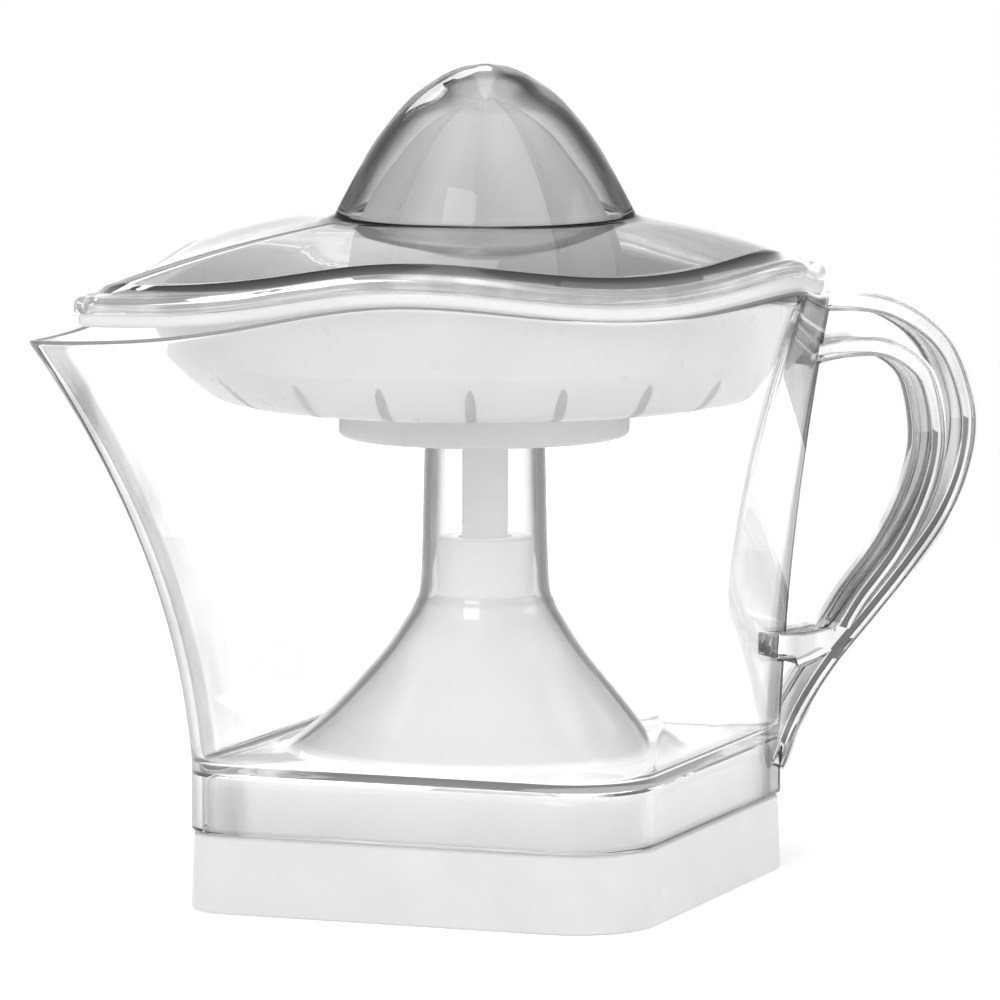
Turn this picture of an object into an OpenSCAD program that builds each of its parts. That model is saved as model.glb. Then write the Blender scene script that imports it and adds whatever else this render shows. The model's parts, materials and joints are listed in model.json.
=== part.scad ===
// Electric citrus press: motor base, clear jug with a chimney over the drive shaft,
// strainer, ribbed reamer and domed lid. Millimetres, +Z up, +X towards the handle,
// -X towards the spout. The origin is on the drive axis, on the resting face.

/* [Base] */
// Half the width of the square base
base_half = 65; // [64.8:0.1:65.2]
// Height of the visible base band
band_h = 21.4; // [21:0.1:21.6]
// Corner radius of the base at the two sides
side_corner_r = 23; // [22:0.5:24]
// Corner radius of the base under the spout
spout_corner_r = 13.2; // [12:0.2:14]
// Corner radius of the base under the handle
handle_corner_r = 3.9; // [3.5:0.1:4.5]

/* [Jug] */
// Height of the jug floor
floor_z = 40.2; // [40:0.1:40.4]
// Mean height of the wavy rim
rim_z = 165.6; // [165:0.1:166]
// Reach of the spout tip from the drive axis
spout_reach = 133.9; // [131:0.1:135]
// Reach of the jug corner under the handle at the rim
handle_corner_reach = 105.8; // [105:0.1:107]
// Radius of the jug at the rim between its two corners
rim_r = 88; // [87.5:0.1:88.5]
// Wall thickness of the jug
jug_wall = 2.8; // [2.4:0.1:2.8]
// Width of the handle strands
handle_w = 14; // [12:1:16]

/* [Strainer, reamer and lid] */
// Thickness of the strainer's flange
flange_t = 3.3; // [3:0.1:3.3]
// Number of slots in the strainer
slot_count = 20; // [20]
// Number of ribs on the reamer
rib_count = 10; // [10]
// Height of the reamer's tip
reamer_tip_z = 220; // [218:0.5:221]
// Height of the top of the dome
dome_top_z = 228.3; // [227:0.1:230]
// Thickness of the lid
lid_t = 2.2; // [1.8:0.1:2.4]

/* [Drive] */
// Travel of the reamer and the shaft when fruit is pressed down
press_travel = 2.5; // [2:0.1:2.5]
// Radius of the steel drive shaft
shaft_r = 4; // [4]
// Gear module
gear_m = 1; // [1]
// Teeth on the motor pinion and on both idler pinions
pinion_teeth = 12; // [12]
// Teeth on both idler wheels
wheel_teeth = 42; // [42]
// Teeth on the output gear
output_teeth = 48; // [48]
// Radial clearance of shafts in their bores
run_gap = 0.05; // [0.03:0.01:0.08]

/* [Hidden] */
$fn = 64;

skin = 0.3;            // clearance between parts that only rest on each other
seam_gap = 0.2;        // clearance round the tower and the chimney where they join flat parts
cover_t = 2.4;         // thickness of the bottom cover
housing_wall = 2.4;
platform_half = 61.1;  // half width of the raised platform inside the jug skirt
platform_z = 37.3;
inner_half = 58.7;     // half width of the space inside the platform
hub_r = 13;
hub_z = 98.6;
bush_z = [84, 95];     // bottom and top of the upper shaft bush with its seal
seal_h = 1.5;
plate_z = [24, 26];    // gear plate
gear_cover_z = [47, 49];
side_turn = -45;       // the base square is turned by this much about the drive axis
rotor_xy = [36, 36];   // rotor axis in the square's own axes
idler2_angle = -32;

// ---------- plan outlines ----------

// Reach of one rounded corner of a plan, at an angle away from the corner's own direction.
// The plan is a circle of radius a with a tangent corner that ends at tip, rounded by r.
function corner_reach(a, tip, r, away) =
    tip <= a ? a :
    let (
        d = tip - r,
        alpha = acos(min(1, (a - r) / d)),
        beta = atan2(r * sin(alpha), d + r * cos(alpha))
    )
    away < beta ? d * cos(away) + sqrt(max(0, pow(r, 2) - pow(d * sin(away), 2))) :
    away < alpha ? a / cos(alpha - away) :
    a;

function between(phi, at) = acos(max(-1, min(1, cos(phi - at))));

// A plan is [a, handle tip, its r, side tips, their r, spout tip, its r]
function reach(plan, phi) = max(
    corner_reach(plan[0], plan[1], plan[2], between(phi, 0)),
    corner_reach(plan[0], plan[3], plan[4], between(phi, 90)),
    corner_reach(plan[0], plan[3], plan[4], between(phi, 270)),
    corner_reach(plan[0], plan[5], plan[6], between(phi, 180))
);
function circle_plan(r) = [r, 0, 0, 0, 0, 0, 0];
function square_tip(a, r) = (a - r) * sqrt(2) + r;
function square_plan(a, handle_r, side_r, spout_r) = [
    a, square_tip(a, handle_r), handle_r, square_tip(a, side_r), side_r,
    square_tip(a, spout_r), spout_r
];
function base_plan(inset) = square_plan(
    base_half - inset, max(3, handle_corner_r - inset / 2),
    side_corner_r - inset, spout_corner_r - inset
);
function flare(t, k) = k * t + (1 - k) * pow(t, 2);
function jug_plan(z, inset) =
    let (
        t = max(0, (z - floor_z) / 122),
        ts = max(0, (z - floor_z) / 117.4),
        a = base_half - 0.3 + (rim_r - base_half + 0.3) * flare(t, 0.35),
        tip_h = 90.3 + (handle_corner_reach - 90.3) * flare(t, 0.3),
        tip_s = 82 + 7 * t,
        tip_p = 86.4 + (spout_reach - 86.4) * flare(ts, 0.2)
    )
    [
        a - inset, tip_h - inset, handle_corner_r + 2 * t - inset,
        tip_s - inset, side_corner_r + 45 * pow(t, 1.5) - inset,
        tip_p - inset, max(4.2, spout_corner_r - 9 * ts) - inset
    ];

// ---------- the wavy rim ----------

function wave(phi) = cos(phi) - 2.6 * cos(2 * phi) + 1.2 * cos(3 * phi) - 3.2 * cos(4 * phi);
function jug_rim(phi) = rim_z + wave(phi);
function flange_bottom(phi) = jug_rim(phi) + skin + 2.9 * pow(max(0, -cos(phi)), 12);
function flange_top(phi) = flange_bottom(phi) + flange_t;

// ---------- lofting ----------

// Angles for the square plans: close together at the corners
half_turn = concat(
    [0, 0.7, 1.4, 2.2, 3.5, 6], [for (a = [11:8.5:70.5]) a], [for (a = [75:3:105]) a],
    [for (a = [112:8:160]) a], [165, 169, 172, 174.5, 177, 178.8]
);
around = concat(half_turn, [180], [for (i = [len(half_turn) - 1:-1:1]) 360 - half_turn[i]]);

function polar(r, phi, z) = [r * cos(phi), r * sin(phi), z];
function ring(angles, plan, z) = [for (phi = angles) polar(reach(plan, phi), phi, z)];
function round_ring(p) = ring(around, circle_plan(p[0]), p[1]);
function flat(lists) = [for (l = lists) for (p = l) p];

// Two triangles for the cell between ring i, ring j and columns c and c + 1
function cell(i, j, c, n) =
    let (e = (c + 1) % n)
    [[i * n + c, j * n + c, j * n + e], [i * n + c, j * n + e, i * n + e]];

// A closed skin through rings that run round the axis, where the last ring joins the first
module closed_loft(rings) {
    n = len(rings[0]);
    count = len(rings);
    polyhedron(
        flat(rings),
        [for (i = [0:count - 1]) for (c = [0:n - 1]) for (f = cell(i, (i + 1) % count, c, n)) f]
    );
}

// A closed skin through rings from a flat first end to a flat last end
module capped_loft(rings) {
    n = len(rings[0]);
    count = len(rings);
    polyhedron(
        flat(rings),
        concat(
            [for (i = [0:count - 2]) for (c = [0:n - 1]) for (f = cell(i, i + 1, c, n)) f],
            [[for (c = [0:n - 1]) c]],
            [[for (c = [n - 1:-1:0]) (count - 1) * n + c]]
        )
    );
}

// Height of an (r, z) profile that runs inwards and up, at radius r between its first two points
function height_at(profile, r) =
    profile[0][1] + (profile[1][1] - profile[0][1])
        * (profile[0][0] - r) / (profile[0][0] - profile[1][0]);

// Moves each point of an (r, z) profile sideways, square to its neighbours
function shifted(profile, by) = [
    for (i = [1:len(profile) - 2])
    let (
        d = profile[i + 1] - profile[i - 1],
        m = norm(d)
    )
    profile[i] + by * [-d[1], d[0]] / m
];

// Outside of the jug's chimney, from the floor up. The end points only set directions.
chimney_profile = [
    [62, floor_z], [57.5, floor_z], [53, 42.2], [44.5, 48.8], [35.1, 58.4], [27.6, 67],
    [22.1, 75], [19, 80.6], [17.3, 89], [16.4, 130.8], [16.4, 144]
];
chimney_wall = 2.2;
bell_gap = 0.7;
chimney_outer = shifted(chimney_profile, 0);
chimney_inner = shifted(chimney_profile, chimney_wall);
bell_top = 6;          // last profile point of the bell below the hub
bell_outer = shifted(chimney_profile, chimney_wall + bell_gap);
bell_inner = shifted(chimney_profile, chimney_wall + bell_gap + housing_wall);

// ---------- gears ----------

function involute_turn(a) = tan(a) * 180 / PI - a;
function gear_outline(teeth, phase) =
    let (
        r = gear_m * teeth / 2,
        base_r = r * cos(20),
        tip_r = r + 0.75 * gear_m,
        root_r = r - 1.1 * gear_m,
        half_tooth = 90 / teeth * 0.88 + involute_turn(20),
        flank = [for (s = [0:0.5:1]) max(base_r, root_r + 0.1) * (1 - s) + tip_r * s],
        lean = [for (q = flank) half_tooth - involute_turn(acos(min(1, base_r / q)))]
    )
    [
        for (k = [0:teeth - 1])
        let (mid = phase + 360 * k / teeth)
        each concat(
            [root_r * [cos(mid - lean[0]), sin(mid - lean[0])]],
            [for (i = [0:2]) flank[i] * [cos(mid - lean[i]), sin(mid - lean[i])]],
            [for (i = [2:-1:0]) flank[i] * [cos(mid + lean[i]), sin(mid + lean[i])]],
            [root_r * [cos(mid + lean[0]), sin(mid + lean[0])]]
        )
    ];

module gear(teeth, phase, z, h) {
    translate([0, 0, z]) linear_extrude(h) polygon(gear_outline(teeth, phase));
}

function bearing(from, to) = atan2(to[1] - from[1], to[0] - from[0]);
idler2_xy = 30 * [cos(idler2_angle), sin(idler2_angle)];
idler_span = 27;       // centre distance of a pinion and a wheel
to_rotor = rotor_xy - idler2_xy;
half_span = norm(to_rotor) / 2;
idler1_xy = idler2_xy + to_rotor / 2
    + sqrt(pow(idler_span, 2) - pow(half_span, 2)) * [-to_rotor[1], to_rotor[0]] / norm(to_rotor);
centre_xy = [0, 0];

module in_square() {
    rotate(side_turn) children();
}

module at(xy, z = 0) {
    translate([xy[0], xy[1], z]) children();
}

module tube(outer_r, inner_r, z, h) {
    translate([0, 0, z]) difference() {
        cylinder(r = outer_r, h = h);
        translate([0, 0, -1]) cylinder(r = inner_r, h = h + 2);
    }
}

// ---------- base ----------

cover_boss_xy = [[-46, 46], [46, -46], [-46, -46], [52.5, 52.5]];
tower_boss_xy = [[-38, 8], [8, -46], [-20, -36]];
side_boss_xy = [51, 22];
plate_boss_xy = concat(tower_boss_xy, [side_boss_xy]);
foot_xy = [[37, 37], [-37, 37], [37, -37], [-37, -37]];
gland_xy = [-40, 65];
gland_z = 11;

module motor_housing() color("white") {
    shoulder = function (inset, z)
        ring(around, square_plan(platform_half - inset, 3, 20, 10), z);
    inner = function (half, z) ring(around, square_plan(half, 3, 18, 9), z);
    seam = bell_outer[1][0] + seam_gap;
    difference() {
        union() {
            closed_loft([
                ring(around, base_plan(0), 0.3), ring(around, base_plan(0.7), band_h - 0.6),
                ring(around, base_plan(1.3), band_h), shoulder(0, band_h),
                shoulder(0, platform_z - 3.4), shoulder(1, platform_z - 1),
                shoulder(3.4, platform_z), round_ring(bell_outer[0]),
                round_ring([seam, height_at(bell_outer, seam)]),
                round_ring([seam, height_at(bell_inner, seam)]), round_ring(bell_inner[0]),
                inner(inner_half, bell_inner[0][1]), inner(inner_half, 19),
                inner(base_half - 2.6, 18), inner(base_half - 2.6, 0.3)
            ]);
            in_square() for (xy = cover_boss_xy) at(xy, cover_t + 0.1) cylinder(r = 4, h = 33);
            intersection() {
                in_square() at(side_boss_xy, plate_z[1] + 0.05) cylinder(r = 4, h = 40);
                bell_core();
            }
        }
        in_square() for (xy = cover_boss_xy) at(xy, 0) cylinder(r = 1.45, h = 16);
        in_square() at(side_boss_xy, 0) cylinder(r = 1.15, h = 33);
        in_square() at(gland_xy, gland_z) rotate([90, 0, 0]) cylinder(r = 5, h = 20, center = true);
    }
}

// The flared tower on top of the housing, which the chimney of the jug slips over
module drive_tower() color("white") {
    seam = bell_outer[1][0];
    difference() {
        union() {
            rotate_extrude() polygon(concat(
                [for (i = [1:bell_top]) bell_outer[i]],
                [[hub_r, 83.4], [hub_r, hub_z - 0.8], [hub_r - 0.8, hub_z], [7.2, hub_z]],
                [[7.2, bush_z[1]], [9.05, bush_z[1]], [9.05, 80]],
                [for (i = [bell_top - 1:-1:1]) bell_inner[i]],
                [[seam, height_at(bell_inner, seam)]]
            ));
            intersection() {
                in_square() for (xy = tower_boss_xy) at(xy, plate_z[1] + 0.05) cylinder(r = 4, h = 40);
                bell_core();
            }
        }
        in_square() for (xy = tower_boss_xy) at(xy, 0) cylinder(r = 1.15, h = 33);
    }
}

// The solid inside the middle of the bell's wall, which the posts under the bell end in
module bell_core() {
    core = shifted(chimney_profile, chimney_wall + bell_gap + housing_wall / 2);
    rotate_extrude() polygon(concat(
        [[0, 20], [70, 20], [70, core[0][1]]], [for (i = [0:bell_top]) core[i]], [[0, core[bell_top][1]]]
    ));
}

module bottom_cover() color("gainsboro") {
    outline = [for (phi = around) let (r = reach(square_plan(base_half - 2.9, 3, 18, 9), phi))
        [r * cos(phi), r * sin(phi)]];
    difference() {
        union() {
            linear_extrude(cover_t) polygon(outline);
            tube(8.4, 7 + run_gap, cover_t - 0.2, 7.3);
            in_square() at(rotor_xy, cover_t - 0.2) cylinder(r = 5, h = 3.6);
        }
        in_square() for (xy = foot_xy) at(xy, -1) cylinder(r = 7, h = 2.2);
        in_square() for (xy = cover_boss_xy) at(xy, -1) {
            cylinder(r = 3.4, h = 2);
            cylinder(r = 1.75, h = 6);
        }
        in_square() at(rotor_xy, 4) cylinder(r = 1.5 + run_gap, h = 5);
        in_square() for (x = [-14:7:14]) at([x, -34], -1) {
            translate([-1.5, -9, 0]) cube([3, 18, 6]);
        }
    }
}

module rubber_feet() color("dimgray")
    in_square() for (xy = foot_xy) at(xy) cylinder(r = 6.9, h = 1.15);

module cover_screws() color("silver")
    in_square() for (xy = cover_boss_xy) at(xy, 0.35) difference() {
        union() {
            cylinder(r = 3, h = 0.6);
            translate([0, 0, 0.5]) cylinder(r = 1.4, h = 13);
        }
        for (turn = [0, 90]) rotate(turn) translate([-1.6, -0.35, -1]) cube([3.2, 0.7, 1.4]);
    }

module cord_gland() color("whitesmoke")
    in_square() at(gland_xy, gland_z) rotate([90, 0, 0]) rotate_extrude() polygon([
        [3, -1.6], [5.6, -1.6], [6.6, -0.9], [6.6, 0.3], [4.95, 0.3], [4.95, 6], [3, 6]
    ]);

module gear_plate() color("darkgray") {
    in_square() difference() {
        translate([0, 0, plate_z[0]]) linear_extrude(plate_z[1] - plate_z[0]) difference() {
            polygon([[-46, -20], [-28, -46], [16, -54], [36, -36], [57, -8], [57, 34], [50, 56],
                [-2, 56], [-46, 20]]);
            circle(r = 8);
            translate(rotor_xy) circle(r = 1.5 + run_gap);
            for (xy = [idler1_xy, idler2_xy]) translate(xy) circle(r = 1.5);
            for (xy = plate_boss_xy) translate(xy) circle(r = 1.5);
            for (xy = gear_cover_xy) translate(xy) circle(r = 1.2);
            for (xy = cover_boss_xy) translate(xy) circle(r = 4.6);
        }
    }
}

gear_cover_xy = [for (turn = [110, 180, 250]) 31 * [cos(turn), sin(turn)]];

module plate_screws() color("silver")
    in_square() for (xy = plate_boss_xy) at(xy, plate_z[0]) {
        translate([0, 0, -1.6]) cylinder(r = 2.4, h = 1.6);
        translate([0, 0, -0.1]) cylinder(r = 1.1, h = 8);
    }

module lower_bush() color("peru")
    tube(7.95, shaft_r + run_gap, plate_z[0] - 0.5, 3);

module gear_pins() color("silver")
    in_square() for (xy = [idler1_xy, idler2_xy])
        at(xy, plate_z[0]) cylinder(r = 1.48, h = gear_cover_z[1] - plate_z[0]);

module gear_cover() color("lightgray")
    in_square() difference() {
        union() {
            translate([0, 0, gear_cover_z[0]]) cylinder(r = 34, h = gear_cover_z[1] - gear_cover_z[0]);
            for (xy = gear_cover_xy) at(xy, plate_z[1] + 0.02) cylinder(r = 2.6, h = 21.5);
        }
        translate([0, 0, 40]) cylinder(r = 5, h = 20);
        for (xy = [idler1_xy, idler2_xy]) at(xy, 40) cylinder(r = 1.5, h = 20);
        for (xy = gear_cover_xy) at(xy, plate_z[1] - 1) cylinder(r = 1.15, h = 40);
    }

module gear_cover_screws() color("silver")
    in_square() for (xy = gear_cover_xy) at(xy, gear_cover_z[1]) {
        cylinder(r = 2.2, h = 1.3);
        translate([0, 0, -10]) cylinder(r = 1.1, h = 10.1);
    }

// ---------- motor ----------

pole_in = 10.3;        // radius of the bore between the poles
leg_w = 7;
core_z = [8, 20];
yoke_x = [-30, -23];
coil_x = [-19, 15];

module core_outline() {
    difference() {
        translate([yoke_x[0], -pole_in - leg_w])
            square([rotor_xy[0] - yoke_x[0] + 10, 2 * (pole_in + leg_w)]);
        translate([yoke_x[1], -pole_in + 1.5])
            square([rotor_xy[0] - yoke_x[1] - 8, 2 * pole_in - 3]);
        translate([rotor_xy[0] + 6, -4]) square([10, 8]);
        translate([rotor_xy[0], 0]) circle(r = pole_in);
    }
}

module on_core() {
    in_square() translate([0, rotor_xy[1], 0]) children();
}

module stator_core() color("slategray")
    on_core() translate([0, 0, core_z[0]]) linear_extrude(core_z[1] - core_z[0]) core_outline();

// A rectangular sleeve round one leg of the core
module leg_sleeve(x, grow_in, grow_out, z_grow_in, z_grow_out) {
    for (side = [-1, 1]) {
        leg_y = side * (pole_in + leg_w / 2 - 0.75);
        leg_half = leg_w / 2 + 0.75;
        translate([x[0], leg_y, 14]) rotate([90, 0, 90]) linear_extrude(x[1] - x[0]) difference() {
            square([2 * (leg_half + grow_out), 12 + 2 * z_grow_out], center = true);
            square([2 * (leg_half + grow_in), 12 + 2 * z_grow_in], center = true);
        }
    }
}

module coil_bobbins() color("ivory")
    on_core() {
        leg_sleeve(coil_x, 0.1, 0.7, 0.1, 0.8);
        for (x = [coil_x[0] - 1, coil_x[1]]) leg_sleeve([x, x + 1], 0.1, 2.9, 0.1, 3.4);
    }

module stator_coils() color("peru")
    on_core() leg_sleeve([coil_x[0] + 0.1, coil_x[1] - 0.1], 0.75, 2.6, 0.85, 3);

module terminal_block() color("ivory")
    in_square() translate([-50, 20, cover_t + 0.05]) difference() {
        cube([12, 20, 10]);
        for (y = [5, 15]) {
            translate([6, y, 4]) cylinder(r = 2, h = 10);
            translate([-1, y, 4]) rotate([0, 90, 0]) cylinder(r = 1.2, h = 20);
        }
    }

module rotor_magnet() color("dimgray")
    in_square() at(rotor_xy) tube(9.5, 1.5, 7.5, 13.5);

module rotor_shaft() color("silver")
    in_square() at(rotor_xy, 4.05) cylinder(r = 1.5, h = 28.5);

module rotor_pinion() color("ivory")
    in_square() at(rotor_xy) difference() {
        gear(pinion_teeth, bearing(rotor_xy, idler1_xy), 26.6, 5);
        translate([0, 0, 20]) cylinder(r = 1.5, h = 20);
    }

// ---------- gear train ----------

module idler(xy, wheel_phase, pinion_phase, wheel_z, wheel_h, pinion_h) {
    in_square() at(xy) difference() {
        union() {
            gear(wheel_teeth, wheel_phase, wheel_z, wheel_h);
            gear(pinion_teeth, pinion_phase, wheel_z + wheel_h - 0.1, pinion_h);
        }
        translate([0, 0, 20]) cylinder(r = 1.5 + run_gap, h = 40);
    }
}

half_pitch = 180 / wheel_teeth;

module idler_gear_1() color("ivory")
    idler(idler1_xy, bearing(idler1_xy, rotor_xy) + half_pitch,
        bearing(idler1_xy, idler2_xy), 27, 4, 5.2);

module idler_gear_2() color("ivory")
    idler(idler2_xy, bearing(idler2_xy, idler1_xy) + half_pitch,
        bearing(idler2_xy, centre_xy), 32, 4, 10.2);

module output_gear() color("ivory")
    in_square() difference() {
        union() {
            gear(output_teeth, bearing(centre_xy, idler2_xy) + 180 / output_teeth, 39, 5);
            translate([0, 0, 43.9]) cylinder(r = 8, h = 2.5);
        }
        translate([0, 0, 30]) cylinder(r = shaft_r, h = 30);
        for (turn = [0:60:300]) rotate(turn) translate([15, 0, 30]) cylinder(r = 4.5, h = 20);
    }

// ---------- shaft, press switch and spring ----------

pad_z = [cover_t + press_travel + 0.1, 14];
lug_reach = 16;
lever_pivot_x = -26;
stem_z = [97.8, 165];
hex_top = 188;
socket_z = 165.8;      // bottom of the reamer's hex socket, just above the shaft's round part

module drive_shaft() color("silver") {
    translate([0, 0, pad_z[1] + 0.02]) cylinder(r = shaft_r, h = stem_z[1] + 0.5 - pad_z[1]);
    translate([0, 0, stem_z[1] + 0.4]) cylinder(r = shaft_r, h = hex_top - stem_z[1] - 1.4, $fn = 6);
    translate([0, 0, hex_top - 1.1]) cylinder(r1 = 3.4, r2 = 2.4, h = 1);
}

module shaft_bush() color("peru")
    tube(9, shaft_r + run_gap, bush_z[0], bush_z[1] - bush_z[0] - seal_h);

module shaft_seal() color("dimgray")
    tube(9, shaft_r + 0.1, bush_z[1] - seal_h, seal_h);

module thrust_pad() color("ivory") {
    translate([0, 0, pad_z[0]]) cylinder(r = 7, h = pad_z[1] - pad_z[0]);
    translate([0, 0, 12.5]) cylinder(r = 11.5, h = 1.5);
    in_square() translate([-lug_reach, -3, 12.5]) cube([lug_reach, 6, 1.5]);
}

spring_r = 10;
spring_wire_r = 0.55;
spring_turns = 4;
spring_z = [cover_t + spring_wire_r + 0.05, 12.4 - spring_wire_r];

module return_spring() color("silver") {
    steps = spring_turns * 14;
    rings = [
        for (i = [0:steps])
        let (
            turn = 360 * spring_turns * i / steps,
            z = spring_z[0] + (spring_z[1] - spring_z[0]) * i / steps
        )
        [for (s = [0:5]) polar(spring_r + spring_wire_r * cos(60 * s), turn,
            z + spring_wire_r * sin(60 * s))]
    ];
    capped_loft([for (i = [steps:-1:0]) rings[i]]);
}

module switch_body() color("black")
    in_square() difference() {
        union() {
            translate([-38, -3.5, cover_t + 0.05]) cube([20, 7, 6.5]);
            for (y = [-3.5, 2]) translate([lever_pivot_x - 2, y, 8]) cube([4, 1.5, 6]);
            translate([-22.5, -1, 8.5]) cube([2, 2, 1]);
        }
        translate([lever_pivot_x, 0, 12]) rotate([90, 0, 0]) cylinder(r = 0.85, h = 20, center = true);
    }

module switch_lever() color("silver")
    in_square() {
        translate([lever_pivot_x, 0, 12]) rotate([90, 0, 0]) cylinder(r = 0.8, h = 7, center = true);
        translate([lever_pivot_x, -1.8, 11.6]) cube([lug_reach - 4 - 0.5, 3.6, 0.8]);
        translate([lever_pivot_x - 2, -1.8, 11.2]) cube([3.5, 3.6, 1.2]);
    }

// ---------- jug ----------

wall_levels = [0, 0.13, 0.25, 0.38, 0.51, 0.64, 0.77, 0.89, 1];
skirt_z = band_h + skin;

function wall_ring(level, inset) = [
    for (phi = around)
    let (z = skirt_z + (jug_rim(phi) - skirt_z) * level)
    polar(reach(jug_plan(z, inset), phi), phi, z)
];

module jug() color([0.85, 0.9, 0.92, 0.45]) {
    seam = chimney_outer[1][0] + seam_gap;
    closed_loft(concat(
        [for (u = wall_levels) wall_ring(u, 0)],
        [for (i = [len(wall_levels) - 1:-1:2]) wall_ring(wall_levels[i], jug_wall)],
        [ring(around, jug_plan(floor_z + 1.2, jug_wall), floor_z + 1.2)],
        [ring(around, jug_plan(floor_z, jug_wall + 1.2), floor_z)],
        [round_ring(chimney_outer[0]), round_ring([seam, height_at(chimney_outer, seam)])],
        [round_ring([seam, height_at(chimney_inner, seam)]), round_ring(chimney_inner[0])],
        [ring(around, jug_plan(floor_z, jug_wall), floor_z - chimney_wall)],
        [ring(around, jug_plan(skirt_z, jug_wall), skirt_z)]
    ));
}

// The chimney in the middle of the jug, from the flare of its floor up
module jug_chimney() color([0.85, 0.9, 0.92, 0.45]) {
    last = len(chimney_outer) - 1;
    seam = chimney_outer[1][0];
    rotate_extrude($fn = 96) polygon(concat(
        [for (i = [1:last]) chimney_outer[i]], [for (i = [last:-1:1]) chimney_inner[i]],
        [[seam, height_at(chimney_inner, seam)]]
    ));
}

// The finger side of the inner strand and the outer side of the outer strand, as (x, z) points
outer_strand = [[97, 161.6], [112.7, 160.8], [124.7, 157.7], [136.6, 150.2], [143.5, 140.3],
    [147.5, 126], [145.7, 111.8], [139.4, 97.9], [128.7, 84.3], [116.2, 70.7], [103.5, 57.2],
    [94, 43.6], [88, 30]];
inner_strand = [[92, 61], [103.2, 65.6], [111.9, 77], [123.3, 90.5], [131.1, 104.3],
    [134.9, 118.3], [133, 132.5], [128.6, 139.8], [119, 144.7], [106.4, 145], [94, 142.6]];
strut = [[84, 60.6], [98, 60.6], [107, 62.5], [104, 67.4], [95, 66.2], [84, 66.8]];
strand_t = 3;

// A smooth run through points: a Catmull-Rom curve with a few steps to each span
function smooth(points) =
    let (last = len(points) - 1)
    concat(
        [
            for (i = [0:last - 1]) for (t = [0:0.25:0.9])
            let (
                a = points[max(0, i - 1)],
                b = points[i],
                c = points[i + 1],
                d = points[min(last, i + 2)]
            )
            b + (c - a) * t / 2 + (a - 2.5 * b + 2 * c - d / 2) * pow(t, 2)
                + (1.5 * b - 1.5 * c + (d - a) / 2) * pow(t, 3)
        ],
        [points[last]]
    );

// A strip of even thickness on the right of a row of points
function strip(points, t) =
    let (
        last = len(points) - 1,
        far_side = [
            for (i = [0:last])
            let (d = points[min(last, i + 1)] - points[max(0, i - 1)])
            points[i] + t * [d[1], -d[0]] / norm(d)
        ]
    )
    concat(points, [for (i = [last:-1:0]) far_side[i]]);

module jug_handle() color([0.85, 0.9, 0.92, 0.45])
    difference() {
        for (outline = [
            strip(smooth(outer_strand), strand_t), strip(smooth(inner_strand), strand_t), strut
        ])
            rotate([90, 0, 0]) linear_extrude(handle_w, center = true) polygon(outline);
        jug_corner();
    }

// The part of the jug's own outer shape that the handle ends in
module jug_corner() {
    angles = [0, 0.7, 1.4, 2.2, 3.5, 6, 11, 20, 180, 340, 349, 354, 356.5, 357.8, 358.6, 359.3];
    levels = [for (u = wall_levels) [
        for (phi = angles)
        let (z = skirt_z + (jug_rim(phi) - skirt_z) * u)
        polar(phi == 180 ? 5 : reach(jug_plan(z, 0), phi), phi, z)
    ]];
    capped_loft(levels);
}

// ---------- strainer ----------

slot_step = 360 / slot_count;
slot_half = 1.1;
strainer_angles = [
    for (k = [0:slot_count - 1])
    each [for (off = [0, 4, slot_step / 2 - slot_half, slot_step / 2 + slot_half, 14])
        k * slot_step + off]
];
slot_column = 2;       // the third column of each step is the slot
columns_per_step = 5;

// Bowl sections from the floor up: [z, half width, spout end, handle end]
bowl = [
    [136.2, 50, 50, 50], [136.8, 66, 66, 66.5], [137.7, 71, 71.8, 73], [139.2, 74, 76, 79],
    [142, 76.4, 80, 84.5], [145.5, 78.6, 84.3, 89.7], [150, 80.7, 89.2, 95.5]
];
bowl_top = [83.2, 94.7, 101];
bowl_wall = 2;

function bowl_plan(half, spout_end, handle_end, inset) =
    let (round_r = max(10, 60 - (spout_end - half) * 0.5))
    [
        half - inset, handle_end - inset, max(10, 55 - 2.4 * (handle_end - half)) - inset,
        0, 0, spout_end - inset, min(half - 8, round_r) - inset
    ];
function rim_ring(plan, lift) = [
    for (phi = strainer_angles) polar(reach(plan, phi), phi, flange_bottom(phi) + lift)
];
flange_plan = [88.3, 103.2, 4, 0, 0, 119, 6];
slot_from = 1;         // first and last bowl section with a slot
slot_to = 4;

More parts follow.
